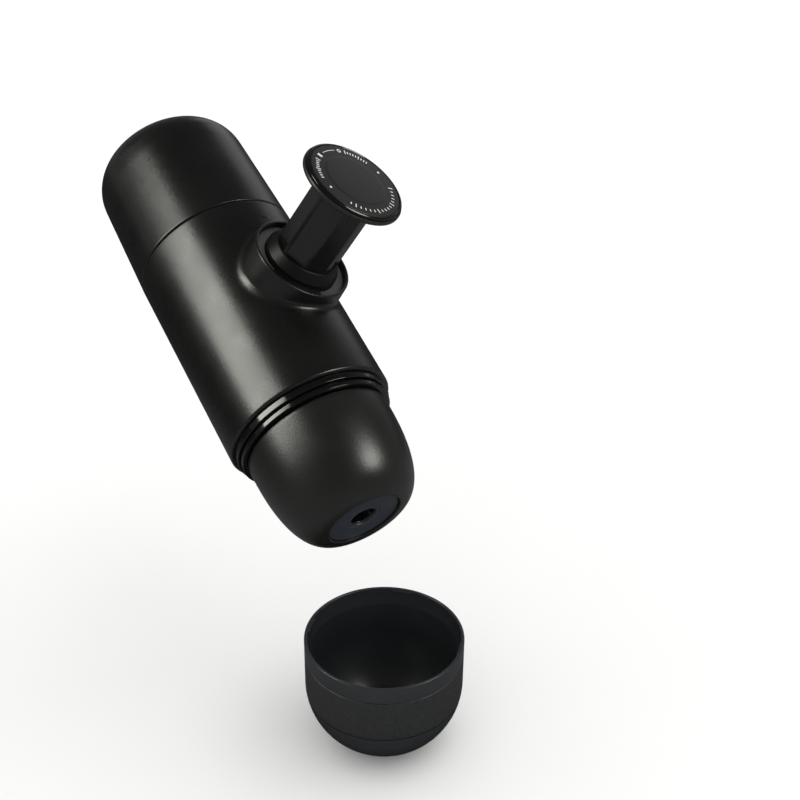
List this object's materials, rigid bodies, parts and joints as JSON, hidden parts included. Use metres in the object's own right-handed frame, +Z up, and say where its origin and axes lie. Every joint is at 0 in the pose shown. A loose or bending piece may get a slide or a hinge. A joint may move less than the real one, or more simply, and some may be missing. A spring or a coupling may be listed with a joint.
{
  "type": "handheld manual espresso maker",
  "caption": "Hand-pumped espresso maker: domed water tank, round barrel with side piston and lock collar, screw-on outlet head with filter basket, and its own round cup below the spout.",
  "frame": {"origin": "where the piston's axis crosses the barrel's axis, in the middle of the grip that the hand closes round", "axes": "+Z is up, square to the table that the cup stands on. The barrel's axis lies in the XZ plane, with the outlet towards +X and 27.5 degrees below the horizontal, as held for pouring. The piston leans 19 degrees towards +Y"},
  "size_m": [0.1793, 0.0737, 0.2153],
  "materials": {
    "satin_black": "fine spark-textured satin black",
    "dome_black": "fine matte black",
    "gloss_black": "polished black",
    "knob_black": "satin black with pale printed ticks",
    "boss_plate": "matte charcoal",
    "inner_plastic": "moulded glass-filled black",
    "outlet_plate": "smooth blue-black",
    "steel": "stainless",
    "silicone": "translucent milky",
    "seal_rubber": "red-brown silicone",
    "cup_black": "smooth charcoal",
    "cup_sleeve": "leather-grained wrap"
  },
  "bodies": {
    "barrel": {"body_shell": "satin_black", "boss_plate": "boss_plate", "tank_bulkhead": "inner_plastic", "group_head": "inner_plastic", "bulkhead_screws": "steel", "inlet_strainer": "steel", "pump_housing": "inner_plastic", "pump_cylinder": "steel", "inlet_valve": "silicone", "outlet_valve": "silicone", "shower_screen": "steel", "screen_screw": "steel", "group_seal": "seal_rubber", "return_spring": "steel"},
    "collar": {"lock_collar": "gloss_black"},
    "piston": {"piston_shaft": "gloss_black", "piston_knob": "knob_black", "knob_cap": "knob_black", "knob_screw": "steel", "plunger_rod": "steel", "piston_seal": "seal_rubber"},
    "tank_gasket": {"tank_seal": "seal_rubber"},
    "tank": {"tank_shell": "satin_black"},
    "head_gasket": {"head_seal": "seal_rubber"},
    "head": {"head_ring": "gloss_black", "head_dome": "dome_black", "outlet_plate": "outlet_plate", "spout_nozzle": "gloss_black", "outlet_funnel": "inner_plastic", "filter_basket": "steel", "basket_screen": "steel"},
    "cup": {"cup_shell": "cup_black", "cup_sleeve": "cup_sleeve"}
  },
  "joints": [
    {"name": "lock_turn", "type": "hinge", "parent": "barrel", "child": "collar", "pos_m": [0, 0, 0], "axis": [0.4366, 0.3256, 0.8387], "range_deg": [0, 45]},
    {"name": "piston_stroke", "type": "slide", "parent": "collar", "child": "piston", "axis": [-0.4366, -0.3256, -0.8387], "range_m": [0, 0.03], "stiffness_N_per_m": 400, "springref_m": -0.01, "deforming": ["return_spring"]},
    {"name": "tank_screw", "type": "slide", "parent": "barrel", "child": "tank_gasket", "axis": [-0.887, 0, 0.4617], "range_m": [0, 0.0091]},
    {"name": "tank_turn", "type": "hinge", "parent": "tank_gasket", "child": "tank", "pos_m": [0, 0, 0], "axis": [-0.887, 0, 0.4617], "range_deg": [0, 540]},
    {"name": "head_screw", "type": "slide", "parent": "barrel", "child": "head_gasket", "axis": [0.887, 0, -0.4617], "range_m": [0, 0.0121]},
    {"name": "head_turn", "type": "hinge", "parent": "head_gasket", "child": "head", "pos_m": [0, 0, 0], "axis": [0.887, 0, -0.4617], "range_deg": [0, 540]},
    {"name": "cup_slide", "type": "slide", "parent": "barrel", "child": "cup", "axis": [1, 0, 0], "range_m": [0, 0.06]}
  ],
  "couplings": [
    {"joint": "tank_screw", "follows": "tank_turn", "m_per_rad": 0.00095493},
    {"joint": "head_screw", "follows": "head_turn", "m_per_rad": 0.0012732}
  ]
}
